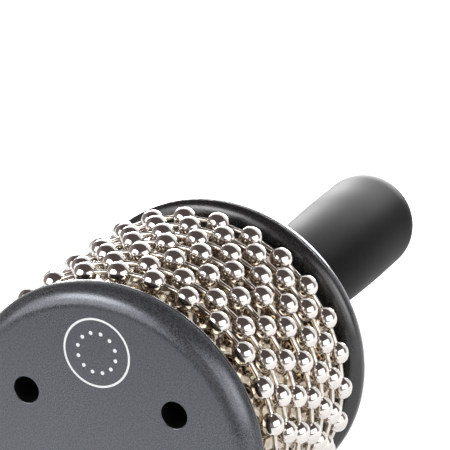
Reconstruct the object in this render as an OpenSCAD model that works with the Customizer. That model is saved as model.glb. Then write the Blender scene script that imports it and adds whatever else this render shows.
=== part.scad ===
// Cabasa: a shaker with seven loops of steel ball chain round a textured steel drum.
// It lies on its side: the head's axis runs along +Y, the front cap faces -Y, the handle
// points to +Y, and the lowest beads touch z = 0. Millimetres.

/* [Head] */
// Diameter of the front and rear caps
cap_d = 82; // [76:1:92]
// Radius of the round-over between a cap's flat face and its rim
face_round = 5.25; // [4.5:0.25:6.5]
// Wall of the moulded caps
cap_wall = 2.6; // [2:0.1:3]
// Width of the flange's plain outer edge
rim_band = 0.8; // [0.6:0.05:1.6]
// How far the flange's rounded inner face rises from its edge to the drum
flange_rise = 2.3; // [1.8:0.1:3]
// How far the flange stands out past the steel sleeve
flange_overhang = 4.75; // [4.2:0.05:5.2]
// Radius of the flange's rounded inner face
flange_bulge = 6.2; // [5.5:0.1:9]

/* [Drum] */
// Thickness of the textured steel sleeve
sleeve_t = 0.5; // [0.4:0.1:0.8]
// Wall of the drum's moulded core
core_wall = 2.4; // [2:0.1:3]
// Front flange to the first loop's middle
front_margin = 7; // [4.5:0.1:9]
// Last loop's middle to the rear flange
rear_margin = 7.6; // [7:0.1:10]
// Bare end of the drum behind the sleeve
core_shoulder = 4.2; // [3:0.1:5]
// How deep a spigot reaches into the drum
spigot_len = 7; // [5:0.5:9]

/* [Ball chain] */
// Diameter of a bead
bead_d = 5.7; // [5:0.1:6]
// How much longer than wide a bead is, along the chain
bead_stretch = 0.4; // [0.2:0.1:0.8]
// Wall of a hollow bead
bead_wall = 0.4; // [0.3:0.05:0.5]
// Beads in each closed loop
beads_per_loop = 26; // [22:1:26]
// Mean free width between neighbouring loops
loop_gap = 1.1; // [1:0.05:2]
// Diameter of a link's rod
link_d = 1.25; // [1:0.05:1.35]
// Diameter of a link's round head
link_head_d = 2.1; // [1.9:0.05:2.2]

/* [Cap screws] */
// Radius of the circle that the three screw wells lie on
well_circle_r = 23.3; // [21:0.1:24]
// Diameter of a screw well's mouth
well_d = 6.9; // [6.6:0.1:7.4]
// Depth of a well below the front face
well_depth = 30; // [24:0.5:36]
// Wall of the well tubes and of the pillars behind them
well_wall = 1.8; // [1.5:0.1:2.2]
// Floor of a well, which the screw head bears on
well_floor = 3; // [2.5:0.1:4]
// Diameter of a cap screw
screw_d = 3; // [2.5:0.1:3.2]
// Diameter of a cap screw's head
screw_head_d = 6; // [5.5:0.1:6.2]
// Height of a cap screw's head
screw_head_h = 2.2; // [1.8:0.1:2.6]
// Length of a threaded insert in a pillar
insert_len = 8; // [6:0.5:10]
// Outer diameter of a threaded insert
insert_d = 4.6; // [4.4:0.1:5]

/* [Handle] */
// Length of the handle behind the rear cap
handle_len = 104.5; // [95:0.1:125]
// Diameter of the handle's collar at the rear cap
collar_d = 27; // [25.5:0.5:30]
// Diameter of the handle's waist
waist_d = 23.6; // [22.6:0.2:26]
// Largest diameter of the handle
belly_d = 29; // [26.5:0.5:32]
// Length of the handle's rounded end
tip_len = 11.5; // [9:0.5:14]
// Wall of the hollow handle
handle_wall = 2.5; // [2:0.1:2.9]
// Depth of the seat in the rear cap that the collar stands in
seat_depth = 1; // [0.6:0.1:1.4]
// Length of the hub inside the neck
hub_len = 20; // [16:0.5:24]

/* [Handle bolt] */
// Diameter of the handle bolt
bolt_d = 6; // [5:0.5:6.5]
// Width across the flats of its hexagonal head
bolt_flats = 10; // [9:0.5:11]
// Height of its head
bolt_head_h = 4; // [3.5:0.1:5]
// Diameter of the washer
washer_d = 16; // [14:0.5:18]
// Thickness of the washer
washer_t = 1.2; // [1:0.1:1.6]
// Length of the threaded insert in the hub
hub_insert_len = 14; // [10:0.5:15]
// Outer diameter of the threaded insert in the hub
hub_insert_d = 9; // [8.5:0.5:10.5]

/* [Hidden] */
$fn = 72;

// Clearances, radial where they lie round an axis
overrun = 1;
press_gap = 0.05;
slip_gap = 0.1;
chain_gap = 0.3;
link_play = 0.15;
thread_gap = 0.05;

// Share of the chain's width at which each loop lies, as it has slid along the drum
loop_place_shares = [0, 0.163, 0.347, 0.534, 0.691, 0.851, 1];
// Angle of one bead of each loop, from +X towards +Z, in degrees
loop_turns = [8.8, 1.8, -3, -8, -15.8, -21.9, -29.3];
// Angles of the three screw wells, from +X towards +Z, in degrees
well_angles = [30, 150, 270];

// Head, in radii from its axis and depths behind the front face
cap_r = cap_d / 2;
sleeve_r = cap_r - flange_overhang;
core_r = sleeve_r - sleeve_t - press_gap;
core_bore_r = core_r - core_wall;
flange_spigot_r = core_bore_r - slip_gap;
flange_bore_r = flange_spigot_r - core_wall;
cap_spigot_r = flange_bore_r - slip_gap;
cap_spigot_len = face_round + rim_band;
drum_start = face_round + rim_band + flange_rise;
loop_pitch = bead_d + loop_gap;
chain_width = loop_pitch * (len(loop_place_shares) - 1);
drum_len = front_margin + chain_width + rear_margin;
head_len = drum_len + 2 * drum_start;
sleeve_len = drum_len - core_shoulder;

// Ball chain
bead_r = bead_d / 2;
bead_reach = bead_r + bead_stretch / 2;
bead_centre_r = sleeve_r + chain_gap + bead_r;
bead_angle = 360 / beads_per_loop;
link_hole_r = link_d / 2 + link_play;
mouth_r = sqrt(pow(bead_centre_r, 2) + pow(bead_reach, 2));
mouth_turn = bead_angle / 2 - atan2(bead_reach, bead_centre_r);
link_centre_r = mouth_r * cos(mouth_turn);
link_reach = mouth_r * sin(mouth_turn) + bead_wall + link_head_d / 2 + chain_gap;

// Screws, wells and pillars
well_r = well_d / 2;
well_tube_r = well_r + well_wall;
pillar_top = well_depth + well_floor;
screw_len = well_floor + insert_len;

// Handle
handle_start = head_len - seat_depth;
handle_full = handle_len + seat_depth;
hub_r = waist_d / 2 - handle_wall - press_gap;
boss_r = washer_d / 2 + cap_wall;
boss_h = cap_wall;
bolt_len = washer_t + boss_h + cap_wall - seat_depth + hub_insert_len;

// Whole object
total_len = head_len + handle_len;
axis_h = bead_centre_r + bead_r;

charcoal = "#4b4c50";
black = "#232225";
steel = "#b9b2a4";
nickel = "#cfcdca";
brass = "#b99a4f";
zinc = "#a9acb0";

// Puts what is drawn round the Y axis, from the front face on, in its place in the whole
module in_place() {
    translate([0, -total_len / 2, axis_h]) children();
}

// Turns an outline of radii and depths round the Y axis
module turned() {
    rotate([-90, 0, 0]) rotate_extrude() children();
}

// A cylinder along the head's axis, from one depth to another
module rod(r, from, to) {
    translate([0, from, 0]) rotate([-90, 0, 0]) cylinder(r = r, h = to - from);
}

// The same rod at each of the screw wells
module at_wells() {
    for (angle = well_angles)
        rotate([0, -angle, 0]) translate([well_circle_r, 0, 0]) children();
}

// Draws a front piece turned round to the rear of the head
module at_rear() {
    translate([0, head_len, 0]) mirror([0, 1, 0]) children();
}

// One moulded cap: a flat face, a round-over and a wall of even thickness
module cap_outline() {
    round_start = cap_r - face_round;
    difference() {
        intersection() {
            union() {
                translate([round_start, face_round]) circle(r = face_round);
                square([round_start, face_round]);
            }
            square([cap_r, face_round]);
        }
        translate([round_start, face_round]) circle(r = face_round - cap_wall);
        translate([0, cap_wall]) square([round_start, face_round]);
    }
    translate([cap_spigot_r - cap_wall, cap_wall - press_gap])
        square([cap_wall, cap_spigot_len - cap_wall]);
}

// A flange ring: plain edge, rounded inner face, and a spigot that centres the drum
module flange_outline() {
    chord = sqrt(pow(flange_overhang, 2) + pow(flange_rise, 2));
    inset = sqrt(pow(flange_bulge, 2) - pow(chord / 2, 2));
    centre = [
        (sleeve_r + cap_r) / 2 - inset * flange_rise / chord,
        drum_start - flange_rise / 2 - inset * flange_overhang / chord
    ];
    translate([flange_bore_r, face_round])
        square([sleeve_r - flange_bore_r, drum_start - face_round]);
    intersection() {
        translate([sleeve_r - press_gap, face_round])
            square([flange_overhang + press_gap, drum_start - face_round]);
        translate(centre) circle(r = flange_bulge);
    }
    translate([flange_bore_r, face_round])
        square([core_wall, drum_start - face_round + spigot_len]);
}

module front_cap() {
    color(charcoal) difference() {
        union() {
            turned() cap_outline();
            at_wells() rod(well_tube_r, cap_wall - press_gap, pillar_top);
        }
        at_wells() rod(well_r, -overrun, well_depth);
        at_wells() rod(screw_d / 2 + slip_gap, 0, pillar_top + overrun);
    }
}

module rear_cap() {
    color(charcoal) difference() {
        union() {
            at_rear() turned() cap_outline();
            at_wells() rod(well_tube_r, pillar_top, head_len - cap_wall + press_gap);
            rod(boss_r, head_len - cap_wall - boss_h, head_len - cap_wall + press_gap);
        }
        at_wells() rod(insert_d / 2 + press_gap, pillar_top - overrun, pillar_top + insert_len);
        rod(collar_d / 2 + slip_gap, handle_start, head_len + overrun);
        rod(bolt_d / 2 + slip_gap, head_len - cap_wall - boss_h - overrun, head_len);
    }
}

module front_flange() {
    color(charcoal) turned() flange_outline();
}

module rear_flange() {
    color(charcoal) at_rear() turned() flange_outline();
}

// The core's bare shoulder is flush with the sleeve
module drum_core() {
    color(black) turned() {
        translate([core_bore_r, drum_start]) square([core_wall, drum_len]);
        translate([core_bore_r, drum_start + sleeve_len])
            square([sleeve_r - core_bore_r, core_shoulder]);
    }
}

module steel_sleeve() {
    color(steel) turned()
        translate([sleeve_r - sleeve_t, drum_start]) square([sleeve_t, sleeve_len]);
}

// Pan-head screws with a cross recess, heads at the bottom of the wells
module cap_screws() {
    recess_share = 0.55;
    recess_w = screw_head_d / 6;
    recess_deep = screw_head_h * recess_share;
    head_top = well_depth - screw_head_h;
    color(zinc) at_wells() difference() {
        union() {
            rod(screw_head_d / 2, head_top, well_depth);
            rod(screw_d / 2, head_top, well_depth + screw_len);
        }
        for (turn = [0, 90])
            rotate([0, turn, 0])
                translate([-screw_head_d * recess_share / 2, head_top - overrun, -recess_w / 2])
                    cube([screw_head_d * recess_share, overrun + recess_deep, recess_w]);
    }
}

module screw_inserts() {
    color(brass) at_wells() difference() {
        rod(insert_d / 2, pillar_top, pillar_top + insert_len);
        rod(screw_d / 2 + thread_gap, pillar_top - overrun, pillar_top + insert_len + overrun);
    }
}

// Handle outline: radius at a place along it, as a share from collar (0) to tip (1)
waist_place_share = 0.24;
belly_place_share = 0.8;
outline_steps = 48;
tip_power = 2.5;
function eased(share) = share * share * (3 - 2 * share);
function grip_radius(share) =
    share < waist_place_share
        ? collar_d / 2 + (waist_d - collar_d) / 2 * eased(share / waist_place_share)
        : waist_d / 2 + (belly_d - waist_d) / 2
            * sin(90 * min(1, (share - waist_place_share) / (belly_place_share - waist_place_share)));
// How much of its full radius a rounded end keeps, a given way from its beginning
function tip_scale(along) = pow(max(0, 1 - pow(along, tip_power)), 1 / tip_power);
function grip_points(inset, length, end_len) = [
    for (i = [0:outline_steps])
        let (depth = length * i / outline_steps, start = length - end_len)
        if (depth <= start)
            [grip_radius(depth / handle_full) - inset, depth]
];
function tip_points(inset, length, end_len) = [
    for (angle = [0:90 / (outline_steps / 2):90])
        let (depth = length - end_len + end_len * sin(angle))
        [(grip_radius(depth / handle_full) - inset) * tip_scale(sin(angle)), depth]
];

module handle_shell() {
    color(black) translate([0, handle_start, 0]) turned() difference() {
        polygon(concat([[0, 0]], grip_points(0, handle_full, tip_len),
            tip_points(0, handle_full, tip_len)));
        polygon(concat(
            [[0, -overrun], [hub_r + press_gap, -overrun], [hub_r + press_gap, hub_len]],
            [for (point = grip_points(handle_wall, handle_full - handle_wall, tip_len - handle_wall))
                if (point[1] > hub_len + handle_wall) point],
            tip_points(handle_wall, handle_full - handle_wall, tip_len - handle_wall)));
    }
}

module handle_hub() {
    color(black) difference() {
        rod(hub_r, handle_start, handle_start + hub_len);
        rod(hub_insert_d / 2 + press_gap, handle_start - overrun, handle_start + hub_insert_len);
    }
}

module hub_insert() {
    color(brass) difference() {
        rod(hub_insert_d / 2, handle_start, handle_start + hub_insert_len);
        rod(bolt_d / 2 + thread_gap, handle_start - overrun, handle_start + hub_insert_len + overrun);
    }
}

module handle_bolt() {
    under_head = head_len - cap_wall - boss_h - washer_t;
    color(zinc) {
        rod(bolt_d / 2, under_head, under_head + bolt_len);
        translate([0, under_head - bolt_head_h, 0]) rotate([-90, 0, 0])
            cylinder(r = bolt_flats / 2 / cos(30), h = bolt_head_h, $fn = 6);
    }
}

module bolt_washer() {
    under = head_len - cap_wall - boss_h;
    color(zinc) difference() {
        rod(washer_d / 2, under - washer_t, under);
        rod(bolt_d / 2 + slip_gap, under - washer_t - overrun, under + overrun);
    }
}

// Half the outline of a bead or of its hollow, turned round the chain's direction
module bead_outline(r, reach) {
    intersection() {
        union() {
            for (side = [-1, 1]) translate([0, side * (reach - r)]) circle(r = r);
            translate([-r, r - reach]) square([2 * r, 2 * (reach - r)]);
        }
        translate([0, -reach - overrun]) square([r + overrun, 2 * (reach + overrun)]);
    }
}

module bead() {
    rotate_extrude($fn = 32) difference() {
        bead_outline(bead_r, bead_reach);
        bead_outline(bead_r - bead_wall, bead_reach - bead_wall);
        translate([-overrun, -bead_reach - overrun])
            square([overrun + link_hole_r, 2 * (bead_reach + overrun)]);
    }
}

// A rod with a round head inside each of the two beads that it joins
module link() {
    cylinder(d = link_d, h = 2 * link_reach, center = true, $fn = 16);
    for (side = [-1, 1]) translate([0, 0, side * link_reach]) sphere(d = link_head_d, $fn = 24);
}

function loop_depth(loop) = drum_start + front_margin + chain_width * loop_place_shares[loop - 1];

// Goes round one loop; halfway is 0 at the beads and 1/2 at the links between them
module round_loop(loop, halfway) {
    translate([0, loop_depth(loop), 0])
        for (i = [0:beads_per_loop - 1])
            rotate([0, -loop_turns[loop - 1] - bead_angle * (i + halfway), 0]) children();
}

module loop_beads(loop) {
    color(nickel) in_place() round_loop(loop, 0) translate([bead_centre_r, 0, 0]) bead();
}

module loop_links(loop) {
    halfway = 1 / 2;
    color(nickel) in_place() round_loop(loop, halfway) translate([link_centre_r, 0, 0]) link();
}

in_place() front_cap();
in_place() rear_cap();
in_place() front_flange();
in_place() rear_flange();
in_place() drum_core();
in_place() steel_sleeve();
in_place() cap_screws();
in_place() screw_inserts();
in_place() handle_shell();
in_place() handle_hub();
in_place() hub_insert();
in_place() handle_bolt();
in_place() bolt_washer();
loop_beads(1);  // loop_1_beads
loop_beads(2);  // loop_2_beads
loop_beads(3);  // loop_3_beads
loop_beads(4);  // loop_4_beads
loop_beads(5);  // loop_5_beads
loop_beads(6);  // loop_6_beads
loop_beads(7);  // loop_7_beads
loop_links(1);  // loop_1_links
loop_links(2);  // loop_2_links
loop_links(3);  // loop_3_links
loop_links(4);  // loop_4_links
loop_links(5);  // loop_5_links
loop_links(6);  // loop_6_links
loop_links(7);  // loop_7_links
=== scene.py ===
# %% [markdown]
# # A cabasa: a drum wrapped in steel ball chain
# A cabasa is a shaker. Seven loops of ball chain lie round a drum covered with textured sheet steel,
# between two moulded caps, and a hollow handle stands on the rear cap. The player holds some loops
# still and turns the handle, so that the beads scrape over the steel. Its construction is already
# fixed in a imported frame. This lesson loads the frame, measures it, and models and paints on it
# what the eye sees.

# %% Load the frame
from math import asin, atan2, cos, degrees, hypot, pi, radians, sin, tau

import bmesh
import bpy
from mathutils import Matrix, Quaternion, Vector


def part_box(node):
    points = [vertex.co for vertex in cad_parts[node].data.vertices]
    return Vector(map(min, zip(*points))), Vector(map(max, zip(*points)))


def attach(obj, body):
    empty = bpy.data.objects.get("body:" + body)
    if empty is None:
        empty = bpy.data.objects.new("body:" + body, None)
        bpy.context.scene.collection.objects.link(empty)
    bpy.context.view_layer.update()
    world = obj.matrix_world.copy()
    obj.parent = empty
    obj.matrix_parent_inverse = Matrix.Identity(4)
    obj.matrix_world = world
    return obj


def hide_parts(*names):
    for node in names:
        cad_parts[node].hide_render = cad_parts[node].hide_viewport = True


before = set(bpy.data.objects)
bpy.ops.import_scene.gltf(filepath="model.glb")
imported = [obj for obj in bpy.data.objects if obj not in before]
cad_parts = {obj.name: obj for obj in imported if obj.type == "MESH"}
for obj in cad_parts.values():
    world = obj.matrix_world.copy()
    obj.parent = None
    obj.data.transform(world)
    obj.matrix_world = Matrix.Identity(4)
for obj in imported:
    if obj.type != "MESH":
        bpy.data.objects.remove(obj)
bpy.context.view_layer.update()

# %% [markdown]
# ## Measuring instead of guessing
# Every new piece has to sit exactly where the frame has its solid, so the main sizes are read from
# the frame's boxes. Only what no box can tell, such as the thickness of a wall, is given here. The
# head's axis runs along Y, and a place along it is given as a Y coordinate in metres.

# %% Measure the frame
MM = 0.001
cap_low, cap_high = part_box("front_cap")
rear_low, rear_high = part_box("rear_cap")
flange_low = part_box("front_flange")[0]
sleeve_low, sleeve_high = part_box("steel_sleeve")
core_low, core_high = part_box("drum_core")
handle_low, handle_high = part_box("handle_shell")

cap_r = (cap_high.x - cap_low.x) / 2
axis_h = (cap_high.z + cap_low.z) / 2
AXIS_POINT = Vector((0, 0, axis_h))
AXIS = Vector((0, 1, 0))
front_y = cap_low.y
back_y = rear_high.y
face_round = flange_low.y - front_y
drum_start = sleeve_low.y - front_y
sleeve_r = (sleeve_high.x - sleeve_low.x) / 2
print("Cap radius %.2f mm, sleeve radius %.2f mm" % (cap_r / MM, sleeve_r / MM))
print("Round-over %.2f mm, drum starts %.2f mm behind the face" % (face_round / MM, drum_start / MM))

# %% [markdown]
# ## The camera
# The photograph was taken with a long lens from the front, a little to the right and above. A long
# lens keeps both caps nearly the same size. The camera is described as a photographer would do it:
# the point it looks at, how far it is, its direction as two angles, and a slight roll.

# %% Place the camera
VIEW_POINT = Vector((20.4 * MM, front_y + 30.4 * MM, axis_h + 49.5 * MM))
VIEW_DISTANCE = 642 * MM
VIEW_AZIMUTH = 26.05
VIEW_ELEVATION = 20.38
VIEW_ROLL = -1.73
LENS = 211.6


def towards(azimuth, elevation):
    """Direction of a place seen from the object, in degrees from -Y towards +X and upwards."""
    a, e = radians(azimuth), radians(elevation)
    return Vector((sin(a) * cos(e), -cos(a) * cos(e), sin(e)))


camera = bpy.data.objects.new("camera", bpy.data.cameras.new("camera"))
camera.data.lens = LENS
camera.data.clip_start = 0.01
camera.data.clip_end = 20
camera.location = VIEW_POINT + VIEW_DISTANCE * towards(VIEW_AZIMUTH, VIEW_ELEVATION)
camera.rotation_mode = "QUATERNION"
level_turn = (VIEW_POINT - camera.location).to_track_quat("-Z", "Y")
camera.rotation_quaternion = level_turn @ Quaternion((0, 0, 1), radians(VIEW_ROLL))
bpy.context.collection.objects.link(camera)
bpy.context.scene.camera = camera
bpy.context.scene.view_settings.view_transform = "Standard"
print("The camera is %.0f mm above the floor" % (camera.location.z / MM))

# %% [markdown]
# ## Nodes with few words
# Each finish is a small node tree. A few helpers keep those trees readable: one adds a node and fills
# or links its sockets in a single call, and others start a material with a Principled shader, or find
# that shader again in a material that is there already.

# %% Node helpers
def add(tree, kind, sockets=None, **settings):
    """Adds a node. A socket's value is a number or colour, or another node's output to link."""
    node = tree.nodes.new(kind)
    for name, value in settings.items():
        setattr(node, name, value)
    for name, value in (sockets or {}).items():
        if isinstance(value, bpy.types.NodeSocket):
            tree.links.new(value, node.inputs[name])
        else:
            node.inputs[name].default_value = value
    return node


def empty_tree(owner):
    """Gives a material or a world an empty node tree."""
    owner.use_nodes = True
    owner.node_tree.nodes.clear()
    return owner.node_tree


def new_material(name, sockets):
    """Starts a material. The sockets are values of its Principled shader."""
    material = bpy.data.materials.new(name)
    tree = empty_tree(material)
    surface = add(tree, "ShaderNodeBsdfPrincipled", sockets)
    add(tree, "ShaderNodeOutputMaterial", {"Surface": surface.outputs["BSDF"]})
    return material, tree, surface


def principled(material):
    """The Principled shader of a material."""
    return next(node for node in material.node_tree.nodes if node.type == "BSDF_PRINCIPLED")


def tone(value, tint=(1, 1, 1)):
    """A colour from one brightness and a tint."""
    return tuple(value * part for part in tint) + (1.0,)


WHITE = tone(1)
print("Node helpers are ready")

# %% [markdown]
# ## Patterns that stay on the object
# A pattern needs a place to start from. Object coordinates are the place of a point in its own piece,
# in metres. They don't change when the camera or the piece moves, so a pattern that is made from them
# stays where it is, and its patches have a real size.

# %% Pattern helpers
def object_place(tree):
    """The place of a surface's point, in Object coordinates."""
    return add(tree, "ShaderNodeTexCoord").outputs["Object"]


def coordinate(tree, letter):
    """One of the three Object coordinates: X, Y or Z."""
    return add(tree, "ShaderNodeSeparateXYZ", {"Vector": object_place(tree)}).outputs[letter]


def length_of(tree, vector):
    """How long a vector is."""
    return add(tree, "ShaderNodeVectorMath", {0: vector}, operation="LENGTH").outputs["Value"]


def noise(tree, size, detail=2.0, roughness=0.5):
    """A noise pattern on Object coordinates whose patches are about this size, in metres."""
    sockets = {"Vector": object_place(tree), "Scale": 1 / size, "Detail": detail, "Roughness": roughness}
    return add(tree, "ShaderNodeTexNoise", sockets).outputs["Fac"]


def spread(tree, value, low, high, from_low=0.3, from_high=0.7):
    """Stretches a pattern's middle range to run from low to high."""
    sockets = {"Value": value, "From Min": from_low, "From Max": from_high,
               "To Min": low, "To Max": high}
    return add(tree, "ShaderNodeMapRange", sockets).outputs["Result"]


def calculate(tree, operation, first, second=0.0, third=0.0):
    """One step of arithmetic. Each value is a number or another node's output."""
    sockets = {0: first, 1: second, 2: third}
    return add(tree, "ShaderNodeMath", sockets, operation=operation).outputs["Value"]


def mix_colours(tree, share, first, second):
    """Goes from the first colour to the second as the share goes from 0 to 1."""
    node = add(tree, "ShaderNodeMix", data_type="RGBA")
    colours = [socket for socket in node.inputs if socket.type == "RGBA"]
    tree.links.new(share, node.inputs["Factor"])
    for socket, colour in zip(colours, (first, second)):
        if isinstance(colour, bpy.types.NodeSocket):
            tree.links.new(colour, socket)
        else:
            socket.default_value = colour
    return next(socket for socket in node.outputs if socket.type == "RGBA")


def bump(tree, surface, height, distance, strength):
    """Raises the surface by a height pattern, to a distance in metres."""
    sockets = {"Height": height, "Distance": distance, "Strength": strength}
    relief = add(tree, "ShaderNodeBump", sockets)
    tree.links.new(relief.outputs["Normal"], surface.inputs["Normal"])


print("Pattern helpers are ready")

# %% [markdown]
# ## A white background
# The object lies on a white floor in front of a white background. A background that lit the object
# as brightly as it looks would wash out every shadow. So the world has two strengths: the camera,
# reflections and light through glass find plain white, and all other light from it is a weak fill.

# %% Background
FILL_LIGHT = 0.25


def sees_background(tree):
    """1 for rays that should find the white background: the camera's, and mirrored or refracted ones."""
    path = add(tree, "ShaderNodeLightPath").outputs
    direct = calculate(tree, "MAXIMUM", path["Is Camera Ray"], path["Is Glossy Ray"])
    return calculate(tree, "MAXIMUM", direct, path["Is Transmission Ray"])


def set_world():
    """A world that looks white and gives little light."""
    world = bpy.data.worlds.new("studio")
    tree = empty_tree(world)
    fill = add(tree, "ShaderNodeBackground", {"Color": WHITE, "Strength": FILL_LIGHT})
    white = add(tree, "ShaderNodeBackground", {"Color": WHITE, "Strength": 1.0})
    both = add(tree, "ShaderNodeMixShader", {0: sees_background(tree), 1: fill.outputs[0],
                                             2: white.outputs[0]})
    add(tree, "ShaderNodeOutputWorld", {"Surface": both.outputs[0]})
    bpy.context.scene.world = world


set_world()
print("World:", bpy.context.scene.world.name)

# %% [markdown]
# ## The floor
# The floor is matt and takes the object's shadow. It also glows by itself, more the farther it is from
# the object, so that it runs into the white background without a line. The beads and the caps mirror
# it too, and there it fades towards the front, as a real studio floor does where no lamp reaches it.

# %% Floor
FLOOR_SIZE = 8.0
FLOOR_TONE = 0.46
FLOOR_GLOW = 0.72
GLOW_GROWS = (0.16, 0.34)
FLOOR_DIM = 0.9
FLOOR_DIM_Y = (-0.34, -0.14)


def stage_object(name, bm, material):
    """Makes an object that belongs to the studio and not to the cabasa."""
    mesh = bpy.data.meshes.new(name)
    bm.to_mesh(mesh)
    bm.free()
    mesh.materials.append(material)
    made = bpy.data.objects.new(name, mesh)
    bpy.context.collection.objects.link(made)
    return made


def white_floor():
    """A matt floor that glows more far away and, in reflections, fades towards the front."""
    material = bpy.data.materials.new("white_floor")
    tree = empty_tree(material)
    matt = add(tree, "ShaderNodeBsdfDiffuse", {"Color": tone(FLOOR_TONE)})
    far = length_of(tree, object_place(tree))
    brightness = spread(tree, far, FLOOR_GLOW, 1, *GLOW_GROWS)
    own_light = calculate(tree, "MULTIPLY", sees_background(tree), brightness)
    glow = add(tree, "ShaderNodeEmission", {"Color": WHITE, "Strength": own_light})
    lit = add(tree, "ShaderNodeAddShader", {0: matt.outputs[0], 1: glow.outputs[0]})
    mirrored = add(tree, "ShaderNodeLightPath").outputs["Is Glossy Ray"]
    dim_share = spread(tree, coordinate(tree, "Y"), FLOOR_DIM, 0, *FLOOR_DIM_Y)
    dimmed = calculate(tree, "MULTIPLY", mirrored, dim_share)
    shown = add(tree, "ShaderNodeMixShader", {0: dimmed, 1: lit.outputs[0]})
    add(tree, "ShaderNodeOutputMaterial", {"Surface": shown.outputs[0]})
    bm = bmesh.new()
    bmesh.ops.create_grid(bm, x_segments=1, y_segments=1, size=FLOOR_SIZE / 2)
    return stage_object("floor", bm, material)


print(white_floor().name, "is", FLOOR_SIZE, "m wide")

# %% [markdown]
# ## The dark side of the studio
# The beads are mirrors, so what is behind the camera matters as much as what is in front of it: they
# show a dark room with bright softboxes. The room is a box without a floor and a back wall that only
# reflections can see, so it takes no light away. Its walls are lighter below than above, as walls are
# where lamps stand near them.

# %% Dark room
ROOM_SIZE = Vector((2.4, 3.15, 1.5))
ROOM_BACK_Y = 1.05
ROOM_LOW_COLOUR = (0.34, 0.30, 0.29, 1)
ROOM_HIGH_COLOUR = (0.10, 0.082, 0.078, 1)
LOW_COLOUR_UP_TO = 0.1


def dark_room():
    """What the beads mirror from the camera's side: walls and a ceiling, open below and behind."""
    material = bpy.data.materials.new("dark_room")
    tree = empty_tree(material)
    rise = spread(tree, coordinate(tree, "Z"), 0, 1, LOW_COLOUR_UP_TO, ROOM_SIZE.z)
    colour = mix_colours(tree, rise, ROOM_LOW_COLOUR, ROOM_HIGH_COLOUR)
    glow = add(tree, "ShaderNodeEmission", {"Color": colour, "Strength": 1.0})
    add(tree, "ShaderNodeOutputMaterial", {"Surface": glow.outputs[0]})
    bm = bmesh.new()
    bmesh.ops.create_cube(bm, size=1)
    bmesh.ops.scale(bm, vec=ROOM_SIZE, verts=bm.verts)
    centre = Vector((0, ROOM_BACK_Y - ROOM_SIZE.y / 2, ROOM_SIZE.z / 2))
    bmesh.ops.translate(bm, vec=centre, verts=bm.verts)
    open_sides = [f for f in bm.faces if f.normal.y > 0.5 or f.normal.z < -0.5]
    bmesh.ops.delete(bm, geom=open_sides, context="FACES")
    room = stage_object("dark_room", bm, material)
    for ray in ("camera", "diffuse", "transmission", "volume_scatter", "shadow"):
        setattr(room, "visible_" + ray, False)


dark_room()

# %% [markdown]
# ## The softboxes
# Two large softboxes stand close to the object, one to its right and one to its front left. They
# draw the broad white patches in the beads. The lamp behind each cloth makes its middle brighter,
# and these two bright middles draw the narrow bands on the satin plastic. A third softbox stands
# low behind the handle, whose far side and rounded end mirror it. The camera sees none of them.
# Each is placed by two angles and a distance, and its size is its width and height.

# %% Light the object
def softbox(name, direction, distance, size, brightness, aim):
    """An area light that faces the aim. Brightness is its radiance, where 1 looks white."""
    data = bpy.data.lights.new(name, "AREA")
    data.shape = "RECTANGLE"
    data.size, data.size_y = size
    data.energy = brightness * pi * size[0] * size[1]
    light = bpy.data.objects.new(name, data)
    light.location = aim + direction * distance
    light.rotation_mode = "QUATERNION"
    light.rotation_quaternion = (-direction).to_track_quat("-Z", "Y")
    light.visible_camera = False
    bpy.context.collection.objects.link(light)
    return light


HEAD_CENTRE = Vector((0, (front_y + back_y) / 2, axis_h))
HANDLE_CENTRE = Vector((0, (handle_low.y + handle_high.y) / 2, axis_h))
# Name, direction, distance, width and height, brightness, aim
softbox("right_softbox", towards(70, 19), 0.40, (0.50, 0.28), 1.8, HEAD_CENTRE)
softbox("right_middle", towards(78, 18), 0.39, (0.16, 0.16), 2.6, HEAD_CENTRE)
softbox("left_softbox", towards(-34, 24), 0.42, (0.46, 0.30), 1.8, HEAD_CENTRE)
softbox("left_middle", towards(-32, 38), 0.41, (0.20, 0.12), 6.5, HEAD_CENTRE)
softbox("back_softbox", towards(-157, 16), 0.19, (0.26, 0.085), 15.0, HANDLE_CENTRE)

# %% [markdown]
# ## Satin moulded plastic
# The caps and flanges are moulded in charcoal plastic. The mould was spark-eroded, which leaves a
# fine grain of about a third of a millimetre: small dents that break the highlights up, and a
# slight speckle in the colour. Two sizes of noise make it, one for the grain and one for the large,
# barely visible clouds that every moulding has. The shine sets how much a surface mirrors when it is
# seen squarely. Hands polish the front face, so the caps keep their full shine there and have less
# behind it. The handle has very little, so it stays near black and only mirrors at a low angle.

# %% Make the plastics
GRAIN = 0.32 * MM
CLOUDS = 18 * MM
CLOUD_ROUGHNESS = 0.03
GRAIN_STRENGTH = 0.6
POLISHED_TO = 4.5 * MM
NEUTRAL = (1, 1, 1)
GREY_BLUE = (0.86, 0.90, 1.0)
GREY_LILAC = (0.92, 0.905, 1.0)


def satin_plastic(name, tint, dark, light, roughness, shine, ior=1.5, relief=0.03 * MM):
    """Tinted moulded plastic between a dark and a light tone, with a spark-eroded grain."""
    sockets = {"IOR": ior, "Specular IOR Level": shine, "Specular Tint": tone(1, tint)}
    material, tree, surface = new_material(name, sockets)
    speckle = noise(tree, GRAIN, detail=1)
    colour = mix_colours(tree, spread(tree, speckle, 0, 1, 0.35, 0.65), tone(dark, tint),
                         tone(light, tint))
    tree.links.new(colour, surface.inputs["Base Color"])
    clouds = spread(tree, noise(tree, CLOUDS, detail=1), roughness - CLOUD_ROUGHNESS,
                    roughness + CLOUD_ROUGHNESS)
    tree.links.new(clouds, surface.inputs["Roughness"])
    bump(tree, surface, speckle, relief, GRAIN_STRENGTH)
    return material


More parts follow.
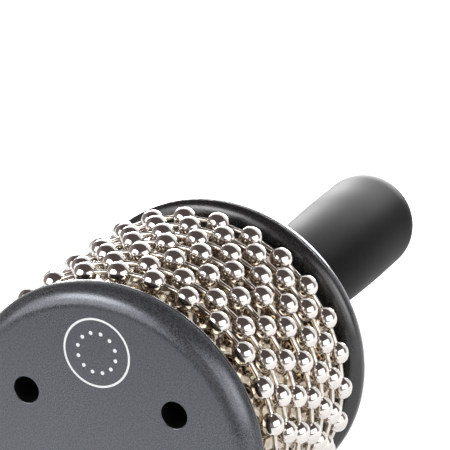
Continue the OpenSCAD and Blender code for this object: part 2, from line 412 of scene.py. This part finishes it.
def polish_face(material, low_shine):
    """Leaves the full shine on the front face, which hands polish, and lowers it behind the face."""
    tree = material.node_tree
    shine = principled(material).inputs["Specular IOR Level"]
    fading = spread(tree, coordinate(tree, "Y"), shine.default_value, low_shine, front_y,
                    front_y + POLISHED_TO)
    tree.links.new(fading, shine)


cap_plastic = satin_plastic("charcoal_plastic", GREY_BLUE, 0.003, 0.095, 0.28, 1.0, ior=1.65)
polish_face(cap_plastic, 0.35)
flange_plastic = satin_plastic("black_satin_plastic", NEUTRAL, 0.001, 0.024, 0.24, 0.75)
# This black is the drum core's own plastic, and it also lines the screw wells as painted shade.
black_core_and_well_shade = satin_plastic("black_plastic_and_well_shade", NEUTRAL, 0.003, 0.005, 0.5, 0.2)
handle_plastic = satin_plastic("grip_plastic", GREY_LILAC, 0.003, 0.006, 0.50, 0.05,
                               relief=0.01 * MM)
print("Plastics are ready")

# %% [markdown]
# ## Polished nickel, textured steel, zinc and brass
# The beads and their links are nickel-plated steel: a warm mirror with a few soft scuffs. The sleeve
# is pressed sheet steel, darker and warmer than the beads: partly its own tone, and partly painted
# shade and warm reflection from the beads that lie over it. The screws inside are zinc-plated and
# their inserts are brass. Each metal goes from a dark to a light tone, and from a low to a high
# roughness, in patches of about a given size.

# %% Make the metals
def metal(name, dark, light, low_roughness, high_roughness, patch, relief=0.0):
    """Bare metal whose tone and roughness vary in patches, with a fine relief."""
    material, tree, surface = new_material(name, {"Metallic": 1.0})
    patches = noise(tree, patch, detail=3)
    colour = mix_colours(tree, spread(tree, patches, 0, 1), dark, light)
    tree.links.new(colour, surface.inputs["Base Color"])
    scuffs = noise(tree, patch * 1.7, detail=4, roughness=0.6)
    tree.links.new(spread(tree, scuffs, low_roughness, high_roughness, 0.45, 0.75),
                   surface.inputs["Roughness"])
    if relief:
        bump(tree, surface, patches, relief, 0.5)
    return material


bead_nickel = metal("polished_nickel", (0.72, 0.68, 0.65, 1), (0.80, 0.765, 0.74, 1), 0.05, 0.10,
                    2.2 * MM, 0.004 * MM)
link_nickel = metal("drawn_nickel", (0.66, 0.61, 0.55, 1), (0.80, 0.75, 0.69, 1), 0.12, 0.24,
                    1.2 * MM)
# painted shade and reflection: the sleeve's tones are darker and warmer for the beads over it
sleeve_steel = metal("pressed_steel", (0.42, 0.35, 0.26, 1), (0.62, 0.55, 0.45, 1), 0.06, 0.14,
                     1.6 * MM, 0.002 * MM)
screw_steel = metal("zinc_plate", (0.50, 0.50, 0.50, 1), (0.66, 0.66, 0.65, 1), 0.22, 0.38,
                    1.5 * MM)
insert_brass = metal("turned_brass", (0.58, 0.42, 0.18, 1), (0.72, 0.55, 0.27, 1), 0.25, 0.4,
                     1.5 * MM)
print("Materials:", len(bpy.data.materials))

# %% [markdown]
# ## Turning an outline into a piece
# Almost every piece here is round, as if made on a lathe: an outline of a few points is spun round
# an axis. An outline is a list of pairs, a radius and a place along the axis. Rounded stretches are
# arcs. The rear pieces are the front ones turned round, so their outlines are flipped.

# %% Lathe helpers
ROUND_STEPS = 160
WELD = 0.0005 * MM


def arc(centre, radius, start, end, steps):
    """Points on a round stretch of an outline. Degrees go from outwards towards +Y."""
    angles = [radians(start + (end - start) * i / steps) for i in range(steps + 1)]
    return [(centre[0] + radius * cos(a), centre[1] + radius * sin(a)) for a in angles]


def flipped(outline):
    """The outline of a front piece, as its twin at the rear has it."""
    return [(radius, front_y + back_y - place) for radius, place in outline]


def spin_outline(bm, outline, closed=False, steps=ROUND_STEPS, centre=AXIS_POINT):
    """Spins an outline round the Y direction through a centre."""
    across = Vector((1, 0, 0))
    ring = [bm.verts.new(centre + across * radius + AXIS * place) for radius, place in outline]
    edges = [bm.edges.new(pair) for pair in zip(ring, ring[1:])]
    if closed:
        edges.append(bm.edges.new((ring[-1], ring[0])))
    bmesh.ops.spin(bm, geom=ring + edges, cent=centre, axis=AXIS, angle=tau, steps=steps,
                   use_merge=True)
    bmesh.ops.remove_doubles(bm, verts=bm.verts, dist=WELD)


print("Lathe helpers are ready, with", ROUND_STEPS, "steps round")

# %% [markdown]
# ## Finishing a piece
# After the spin, the sharp rings get a small edge break, because no moulded edge is sharp and it is
# the edge break that catches the light. Flat faces with holes in them are filled in last, between
# the open rings that the spun parts leave. The finished piece then gets its material, rides on its
# body and takes the place of the frame's node.

# %% Finishing helpers
EDGE_BREAK = 0.18 * MM


def break_edges(bm, offset=EDGE_BREAK, sharper_than=28, segments=2):
    """Rounds every edge between two faces that meet at more than an angle, in degrees."""
    sharp = [e for e in bm.edges
             if len(e.link_faces) == 2 and e.calc_face_angle() > radians(sharper_than)]
    bmesh.ops.bevel(bm, geom=sharp, offset=offset, offset_type="OFFSET", affect="EDGES",
                    segments=segments, profile=0.5, material=-1, clamp_overlap=True)


def fill_flat(bm, place):
    """Closes a flat face between all the open rings that lie at one place along the axis."""
    rings = [e for e in bm.edges
             if e.is_boundary and all(abs(v.co.y - place) < WELD for v in e.verts)]
    bmesh.ops.triangle_fill(bm, edges=rings, use_beauty=True, normal=AXIS)


def finished_piece(name, bm, material, body, node, smooth_below=35, flat_faces=True):
    """Welds a mesh, turns its faces outwards and puts it on its body in place of a CAD node."""
    bmesh.ops.remove_doubles(bm, verts=bm.verts, dist=WELD)
    bmesh.ops.recalc_face_normals(bm, faces=bm.faces)
    open_edges = sum(not e.is_manifold for e in bm.edges)
    mesh = bpy.data.meshes.new(name)
    bm.to_mesh(mesh)
    bm.free()
    mesh.shade_smooth()
    mesh.set_sharp_from_angle(angle=radians(smooth_below))
    mesh.materials.append(material)
    piece = bpy.data.objects.new(name, mesh)
    bpy.context.collection.objects.link(piece)
    if flat_faces:
        weighted = piece.modifiers.new("even_shading", "WEIGHTED_NORMAL")
        weighted.keep_sharp = True
    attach(piece, body)
    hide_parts(node)
    print(name, "has", len(mesh.polygons), "faces,", open_edges, "open edges")
    return piece


print("Finishing helpers are ready")

# %% [markdown]
# ## The two caps
# Both caps have the same shell: a flat face, a generous round-over, a wall of even thickness and a
# spigot that centres it in the flange. The front cap has three deep wells for the screws, and the
# rear cap has three pillars that the screws go into, a boss and a seat for the handle. All of them
# are round, so one outline makes the shell of both caps, and others make the wells and pillars.

# %% Outline of a cap
CAP_WALL = 2.6 * MM
RIM_BAND = 0.8 * MM
SPIGOT_R = 30.7 * MM
SPIGOT_WALL = 2.0 * MM
ROUND_OVER_STEPS = 18
INNER_ROUND_STEPS = 8
WELL_CIRCLE_R = 23.3 * MM
WELL_ANGLES = (30, 150, 270)
TUBE_R = 5.25 * MM
round_start = cap_r - face_round
inside_y = front_y + CAP_WALL


def cap_shell(face_ring):
    """A cap's wall, from a ring on its flat face round to the inside of its spigot."""
    spigot_y = front_y + face_round + RIM_BAND
    inner_r = SPIGOT_R - SPIGOT_WALL
    turn_centre = (round_start, front_y + face_round)
    return (
        [(face_ring, front_y)]
        + arc(turn_centre, face_round, -90, 0, ROUND_OVER_STEPS)
        + arc(turn_centre, face_round - CAP_WALL, 0, -90, INNER_ROUND_STEPS)
        + [(SPIGOT_R, inside_y), (SPIGOT_R, spigot_y), (inner_r, spigot_y), (inner_r, inside_y)]
    )


def well_centre(angle):
    """Where a screw well's axis crosses the plane y = 0."""
    a = radians(angle)
    return AXIS_POINT + WELL_CIRCLE_R * Vector((cos(a), 0, sin(a)))


print("A cap's outline has", len(cap_shell(round_start)), "points")

# %% [markdown]
# ## The print on the front cap
# A plain white ring with twelve dots is pad-printed on the front cap. Ink has no thickness to speak
# of, so it is a colour and not a shape: the material measures how far a point of the surface is from
# the ring's centre, and at which angle, and turns white where the ring or a dot lies.

# %% Print the ring
RING_RISE = 24.6 * MM
RING_R = 8.73 * MM
RING_LINE = 0.55 * MM
DOTS = 12
DOT_CIRCLE_R = 5.2 * MM
DOT_R = 0.5 * MM
INK = tone(0.95)


def dot_share(tree, along, up, far):
    """1 inside a dot: the angle is folded into one dot's share of the circle."""
    angle = calculate(tree, "ARCTAN2", up, along)
    share = calculate(tree, "FRACT", calculate(tree, "MULTIPLY", angle, DOTS / tau))
    folded = calculate(tree, "MULTIPLY", calculate(tree, "SUBTRACT", share, 0.5), tau / DOTS)
    outwards = calculate(tree, "MULTIPLY", far, calculate(tree, "COSINE", folded))
    sideways = calculate(tree, "MULTIPLY", far, calculate(tree, "SINE", folded))
    off = add(tree, "ShaderNodeCombineXYZ", {
        "X": calculate(tree, "SUBTRACT", outwards, DOT_CIRCLE_R), "Y": sideways}).outputs[0]
    return calculate(tree, "LESS_THAN", length_of(tree, off), DOT_R)


def printed_ring(material):
    """Adds the print to a copy of a plastic."""
    printed = material.copy()
    printed.name = "printed_" + material.name
    tree = printed.node_tree
    base = principled(printed).inputs["Base Color"]
    plain = base.links[0].from_socket
    centre = AXIS_POINT + AXIS * front_y + Vector((0, 0, RING_RISE))
    off = add(tree, "ShaderNodeVectorMath", {0: object_place(tree), 1: centre},
              operation="SUBTRACT").outputs[0]
    far = length_of(tree, off)
    parts = add(tree, "ShaderNodeSeparateXYZ", {"Vector": off}).outputs
    ring = calculate(tree, "COMPARE", far, RING_R, RING_LINE / 2)
    ink = calculate(tree, "MAXIMUM", ring, dot_share(tree, parts["X"], parts["Z"], far))
    tree.links.new(mix_colours(tree, ink, plain, INK), base)
    return printed


printed_plastic = printed_ring(cap_plastic)
print("The ring is %.1f mm across, %.1f mm above the axis" % (2 * RING_R / MM, RING_RISE / MM))

# %% [markdown]
# ## The front cap
# Three screws hold the head together. Their wells are deep, because the screws only reach from the
# middle of the drum to the rear cap's pillars. A well is spun round its own axis, with a rounded
# mouth. Hardly any light gets into it, so its walls take the plain black plastic as a second
# material: painted shade, darker than the cap's own plastic.

# %% Front cap
WELL_R = 3.45 * MM
WELL_DEPTH = 30 * MM
WELL_LIP = 0.35 * MM
WELL_LIP_STEPS = 4
WELL_STEPS = 48
SCREW_HOLE_R = 1.6 * MM
FACE_RING = 1.5 * MM
WELL_SHADE_FROM = 0.6 * WELL_LIP


def well():
    """A screw well's outline: a rounded mouth, the well, the screw's hole and the tube outside."""
    lip_centre = (WELL_R + WELL_LIP, front_y + WELL_LIP)
    floor_y = front_y + WELL_DEPTH
    tube_end = cap_high.y
    return (
        arc(lip_centre, WELL_LIP, -90, -180, WELL_LIP_STEPS)
        + [(WELL_R, floor_y), (SCREW_HOLE_R, floor_y), (SCREW_HOLE_R, tube_end)]
        + [(TUBE_R, tube_end), (TUBE_R, inside_y)]
    )


def paint_well_shade(piece):
    """Paints shade inside the wells: the faces there get a second, plain black material."""
    piece.data.materials.append(black_core_and_well_shade)
    for polygon in piece.data.polygons:
        off_axis = [polygon.center - well_centre(angle) for angle in WELL_ANGLES]
        nearest = min(hypot(off.x, off.z) for off in off_axis)
        # painted shade: well faces past the mouth's outer part take the black material
        if nearest < WELL_R + WELL_LIP and polygon.center.y > front_y + WELL_SHADE_FROM:
            polygon.material_index = 1


def front_cap(material):
    """The shell with three wells, and its flat face filled in from a ring inside the round-over."""
    bm = bmesh.new()
    spin_outline(bm, cap_shell(round_start - FACE_RING))
    for angle in WELL_ANGLES:
        spin_outline(bm, well(), steps=WELL_STEPS, centre=well_centre(angle))
    break_edges(bm)
    fill_flat(bm, front_y)
    fill_flat(bm, inside_y)
    piece = finished_piece("front_cap_moulding", bm, material, "head", "front_cap")
    paint_well_shade(piece)
    return piece


front_cap(printed_plastic)

# %% [markdown]
# ## The rear cap
# The rear cap carries the handle. Its flat face has a shallow round seat for the handle's collar and
# a hole for the bolt, with a boss behind it that spreads the bolt's pull. The pillars stand opposite
# the wells and hold the threaded inserts.

# %% Rear cap
INSERT_HOLE_R = 2.35 * MM
INSERT_LEN = 8 * MM
PILLAR_STEPS = 32
SEAT_R = 13.6 * MM
SEAT_DEPTH = 1.0 * MM
BOLT_HOLE_R = 3.1 * MM
BOSS_R = 10.6 * MM


def rear_cap(material):
    """The same shell with a seat and a bolt hole in its middle, and pillars for the screws."""
    boss_y = inside_y + CAP_WALL
    seat_y = front_y + SEAT_DEPTH
    middle = [(BOSS_R, inside_y), (BOSS_R, boss_y), (BOLT_HOLE_R, boss_y), (BOLT_HOLE_R, seat_y),
              (SEAT_R, seat_y)]
    pillar_y = front_y + back_y - rear_low.y
    bottom_y = pillar_y - INSERT_LEN
    pillar = [(TUBE_R, inside_y), (TUBE_R, pillar_y), (INSERT_HOLE_R, pillar_y),
              (INSERT_HOLE_R, bottom_y), (0, bottom_y)]
    bm = bmesh.new()
    spin_outline(bm, flipped(middle + cap_shell(SEAT_R)))
    for angle in WELL_ANGLES:
        spin_outline(bm, flipped(pillar), steps=PILLAR_STEPS, centre=well_centre(angle))
    break_edges(bm)
    fill_flat(bm, front_y + back_y - inside_y)
    return finished_piece("rear_cap_moulding", bm, material, "head", "rear_cap")


rear_cap(cap_plastic)

# %% [markdown]
# ## The flanges
# Behind each cap sits a ring with a thin plain edge and a rounded inner face that runs down to the
# drum. The rear one shows its rounded face to the camera, with a soft highlight along it. The
# rounded face is a quarter of an ellipse, from the plain edge to the drum's surface.

# %% Flanges
FLANGE_EDGE = 0.3 * MM
FLANGE_STEP = 6
CORE_WALL = 2.4 * MM
FLANGE_BORE_R = 30.8 * MM
SPIGOT_REACH = 7 * MM


def flange_outline():
    """The front flange's outline: its bore, edge and rounded face, and the spigot in the drum."""
    start_y = front_y + face_round
    drum_y = front_y + drum_start
    edge_y = start_y + FLANGE_EDGE
    turns = [radians(angle) for angle in range(0, 91, FLANGE_STEP)]
    rounded = [(sleeve_r + (cap_r - sleeve_r) * cos(a), edge_y + (drum_y - edge_y) * sin(a))
               for a in turns]
    spigot_r = FLANGE_BORE_R + CORE_WALL
    spigot_y = drum_y + SPIGOT_REACH
    return (
        [(FLANGE_BORE_R, start_y), (cap_r, start_y)] + rounded
        + [(spigot_r, drum_y), (spigot_r, spigot_y), (FLANGE_BORE_R, spigot_y)]
    )


for side, outline in (("front", flange_outline()), ("rear", flipped(flange_outline()))):
    bm = bmesh.new()
    spin_outline(bm, outline, closed=True)
    break_edges(bm)
    finished_piece(side + "_flange_ring", bm, flange_plastic, "head",
                   side + "_flange")

# %% [markdown]
# ## The drum
# The core is a plain tube with a shoulder that stays bare behind the sleeve. The sleeve's steel
# sheet is embossed with small dents in a diamond pattern, which the beads scrape over. The dents go
# all the way round without a break, so their number round the drum is a whole number, and each is
# pressed inwards, so that the sleeve keeps its diameter.

# %% Drum core
SLEEVE_T = 0.5 * MM
PRESS_GAP = 0.05 * MM
CORE_EDGE_BREAK = 0.08 * MM
CORE_R = sleeve_r - SLEEVE_T - PRESS_GAP
core_outline = [
    (CORE_R - CORE_WALL, core_low.y), (CORE_R, core_low.y), (CORE_R, sleeve_high.y),
    (sleeve_r, sleeve_high.y), (sleeve_r, core_high.y), (CORE_R - CORE_WALL, core_high.y),
]
bm = bmesh.new()
spin_outline(bm, core_outline, closed=True)
break_edges(bm, offset=CORE_EDGE_BREAK)
finished_piece("drum_tube", bm, black_core_and_well_shade, "head", "drum_core")

# %% Steel sleeve
DENT_PITCH = 2.3 * MM
DENT_DEPTH = 0.05 * MM
SAMPLES_PER_DENT = 5
NEAR_EDGE = WELD * 10


def sleeve():
    """A tube whose outer vertices are pressed inwards in a diamond pattern, except at its ends."""
    dents_round = round(tau * sleeve_r / DENT_PITCH)
    length = sleeve_high.y - sleeve_low.y
    rows = round(length / DENT_PITCH * SAMPLES_PER_DENT)
    outside = [(sleeve_r, sleeve_low.y + length * i / rows) for i in range(rows + 1)]
    inside_r = sleeve_r - SLEEVE_T
    bm = bmesh.new()
    spin_outline(bm, outside + [(inside_r, sleeve_high.y), (inside_r, sleeve_low.y)], closed=True,
                 steps=dents_round * SAMPLES_PER_DENT)
    for vert in bm.verts:
        from_axis = vert.co - AXIS_POINT
        from_axis.y = 0
        along = vert.co.y - sleeve_low.y
        if from_axis.length > sleeve_r - NEAR_EDGE and 0 < along < length - NEAR_EDGE:
            turn = atan2(from_axis.z, from_axis.x)
            dent = 0.5 + 0.5 * sin(dents_round * turn) * sin(tau * along / DENT_PITCH)
            vert.co -= from_axis.normalized() * DENT_DEPTH * dent
    return finished_piece("textured_sleeve", bm, sleeve_steel, "head", "steel_sleeve",
                          smooth_below=60)


sleeve()

# %% [markdown]
# ## Beads and links
# A ball chain is a row of hollow beads. Each link is a short rod with a round head inside each of
# its two beads. One bead and one link are spun once, and the spin operator then copies them round
# the drum as closed loops. The turn of each loop is read from the frame: it is the angle at which
# the frame's beads are farthest from the axis.

# %% Measure a loop
BEADS_PER_LOOP = 26
BEAD_STRETCH = 0.4 * MM
CHAIN_GAP = 0.3 * MM
LINK_R = 0.625 * MM
LINK_HEAD_R = 1.05 * MM
LINK_PLAY = 0.15 * MM
BEAD_WALL = 0.4 * MM
BEAD_STEPS = 16
BEAD_ARC_STEPS = 4
LINK_STEPS = 8
LINK_ARC_STEPS = 3
FARTHEST_WITHIN = 0.002 * MM
bead_low, bead_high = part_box("loop_1_beads")
bead_r = (bead_high.y - bead_low.y) / 2
bead_reach = bead_r + BEAD_STRETCH / 2
bead_circle_r = sleeve_r + CHAIN_GAP + bead_r


def bead_turn(node):
    """The angle of one bead, from +X towards +Z, by the vertices that are farthest out."""
    points = [vert.co - AXIS_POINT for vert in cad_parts[node].data.vertices]
    farthest = max(hypot(p.x, p.z) for p in points)
    outer = [atan2(p.z, p.x) for p in points if hypot(p.x, p.z) > farthest - FARTHEST_WITHIN]
    wave = sum(complex(cos(BEADS_PER_LOOP * a), sin(BEADS_PER_LOOP * a)) for a in outer)
    return atan2(wave.imag, wave.real) / BEADS_PER_LOOP


print("Bead radius %.3f mm, bead circle %.3f mm" % (bead_r / MM, bead_circle_r / MM))
print("First loop's turn: %.2f degrees" % degrees(bead_turn("loop_1_beads")))

# %% Chain helper
def chain_loop(outline, circle_r, place, turn, steps):
    """Spins an outline round the chain's direction, then copies it round the drum."""
    bm = bmesh.new()
    centre = Vector((circle_r, place, 0))
    points = [bm.verts.new(centre + Vector((radius, 0, along))) for radius, along in outline]
    edges = [bm.edges.new(pair) for pair in zip(points, points[1:])]
    bmesh.ops.spin(bm, geom=points + edges, cent=centre, axis=(0, 0, 1), angle=tau, steps=steps,
                   use_merge=True)
    bmesh.ops.remove_doubles(bm, verts=bm.verts, dist=WELD)
    bmesh.ops.recalc_face_normals(bm, faces=bm.faces)
    last = tau * (BEADS_PER_LOOP - 1) / BEADS_PER_LOOP
    whole = bm.verts[:] + bm.edges[:] + bm.faces[:]
    bmesh.ops.spin(bm, geom=whole, cent=(0, 0, 0), axis=AXIS, angle=last,
                   steps=BEADS_PER_LOOP - 1, use_duplicate=True)
    bmesh.ops.rotate(bm, cent=(0, 0, 0), matrix=Matrix.Rotation(-turn, 3, "Y"), verts=bm.verts)
    bmesh.ops.translate(bm, vec=AXIS_POINT, verts=bm.verts)
    return bm


print("A loop has", BEADS_PER_LOOP, "beads, one every %.2f degrees" % (360 / BEADS_PER_LOOP))

# %% [markdown]
# ## One bead and one link
# There are 182 beads and as many links, so each is kept to few faces, and smooth shading does the
# rest. The bead is a thin shell with a hole at each end and a plain inside that nobody sees. The link's
# heads are a little wider than those holes, which is why the real chain doesn't come apart.

# %% Outlines of a bead and a link
def bead_outline():
    """From one hole's inner edge over the bead to the other's."""
    hole_r = LINK_R + LINK_PLAY
    hole_angle = degrees(asin(hole_r / bead_r))
    half_stretch = BEAD_STRETCH / 2
    far = arc((0, half_stretch), bead_r, 90 - hole_angle, 0, BEAD_ARC_STEPS)
    near = arc((0, -half_stretch), bead_r, 0, hole_angle - 90, BEAD_ARC_STEPS)
    lip = far[0][1] - BEAD_WALL
    return [(hole_r, lip)] + far + near + [(hole_r, -lip), (bead_r - BEAD_WALL, 0), (hole_r, lip)]


def link_outline(reach):
    """A rod with a round head at each end."""
    neck = degrees(asin(LINK_R / LINK_HEAD_R))
    far = arc((0, reach), LINK_HEAD_R, 90, neck - 90, LINK_ARC_STEPS)
    return far + [(radius, -along) for radius, along in reversed(far)]


mouth_r = hypot(bead_circle_r, bead_reach)
mouth_turn = pi / BEADS_PER_LOOP - atan2(bead_reach, bead_circle_r)
link_circle_r = mouth_r * cos(mouth_turn)
link_reach = mouth_r * sin(mouth_turn) + BEAD_WALL + LINK_HEAD_R + CHAIN_GAP
print("A link is %.2f mm long" % (2 * (link_reach + LINK_HEAD_R) / MM))

# %% Seven loops
for number in range(1, 8):
    loop = "loop_%d" % number
    low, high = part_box(loop + "_beads")
    middle = (low.y + high.y) / 2
    turn = bead_turn(loop + "_beads")
    bm = chain_loop(bead_outline(), bead_circle_r, middle, turn, BEAD_STEPS)
    finished_piece(loop + "_bead_row", bm, bead_nickel, loop, loop + "_beads",
                   smooth_below=50, flat_faces=False)
    bm = chain_loop(link_outline(link_reach), link_circle_r, middle,
                    turn + pi / BEADS_PER_LOOP, LINK_STEPS)
    finished_piece(loop + "_link_row", bm, link_nickel, loop, loop + "_links",
                   smooth_below=70, flat_faces=False)

# %% [markdown]
# ## The handle
# The handle is one hollow moulding, waisted behind its collar, thickest near its far end and closed
# there by a rounded end. Its outline follows two smooth curves, and the end follows a superellipse,
# which is flatter than a hemisphere and has no visible start.

# %% Handle
COLLAR_R = 13.5 * MM
WAIST_R = 11.8 * MM
BELLY_R = 14.5 * MM
WAIST_SHARE = 0.24
BELLY_SHARE = 0.8
TIP_LEN = 11.5 * MM
TIP_POWER = 2.5
HANDLE_WALL = 2.5 * MM
HUB_R = 9.3 * MM
HUB_LEN = 20 * MM
BODY_STEPS = 60
TIP_STEPS = 24
handle_len = handle_high.y - handle_low.y


def grip_r(share):
    """The handle's radius at a share of its length from the collar."""
    if share < WAIST_SHARE:
        ease = share / WAIST_SHARE
        return COLLAR_R + (WAIST_R - COLLAR_R) * ease * ease * (3 - 2 * ease)
    ease = min(1, (share - WAIST_SHARE) / (BELLY_SHARE - WAIST_SHARE))
    return WAIST_R + (BELLY_R - WAIST_R) * sin(ease * pi / 2)


def grip_outline(inset, start):
    """The grip's outline from a place behind the collar to its pole, moved inwards by an inset."""
    tip = TIP_LEN - inset
    straight = handle_len - TIP_LEN
    body = [start + (straight - start) * i / BODY_STEPS for i in range(BODY_STEPS)]
    points = [(grip_r(along / handle_len) - inset, along) for along in body]
    for i in range(TIP_STEPS + 1):
        rise = sin(i * pi / 2 / TIP_STEPS)
        keep = max(0, 1 - rise ** TIP_POWER) ** (1 / TIP_POWER)
        along = straight + tip * rise
        points.append(((grip_r(along / handle_len) - inset) * keep, along))
    return [(radius, handle_low.y + along) for radius, along in points]


bm = bmesh.new()
outer = grip_outline(0, 0)
inner = grip_outline(HANDLE_WALL, HUB_LEN + HANDLE_WALL)
neck = [(HUB_R, handle_low.y + HUB_LEN), (HUB_R, handle_low.y)]
spin_outline(bm, outer)
spin_outline(bm, list(reversed(inner)) + neck + outer[:1])
break_edges(bm)
finished_piece("handle_moulding", bm, handle_plastic, "head", "handle_shell")

# %% [markdown]
# ## The pieces inside
# Screws, inserts, hub, bolt and washer are small and mostly hidden, and the frame's own solids have
# all that they need. They keep those meshes and only get their finish.

# %% Paint the inner pieces
inner_finishes = {
    "cap_screws": screw_steel, "handle_bolt": screw_steel, "bolt_washer": screw_steel,
    "screw_inserts": insert_brass, "hub_insert": insert_brass, "handle_hub": black_core_and_well_shade,
}
for name, material in inner_finishes.items():
    for material_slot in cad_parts[name].material_slots:
        material_slot.material = material
print("Painted", len(inner_finishes), "pieces of the frame")
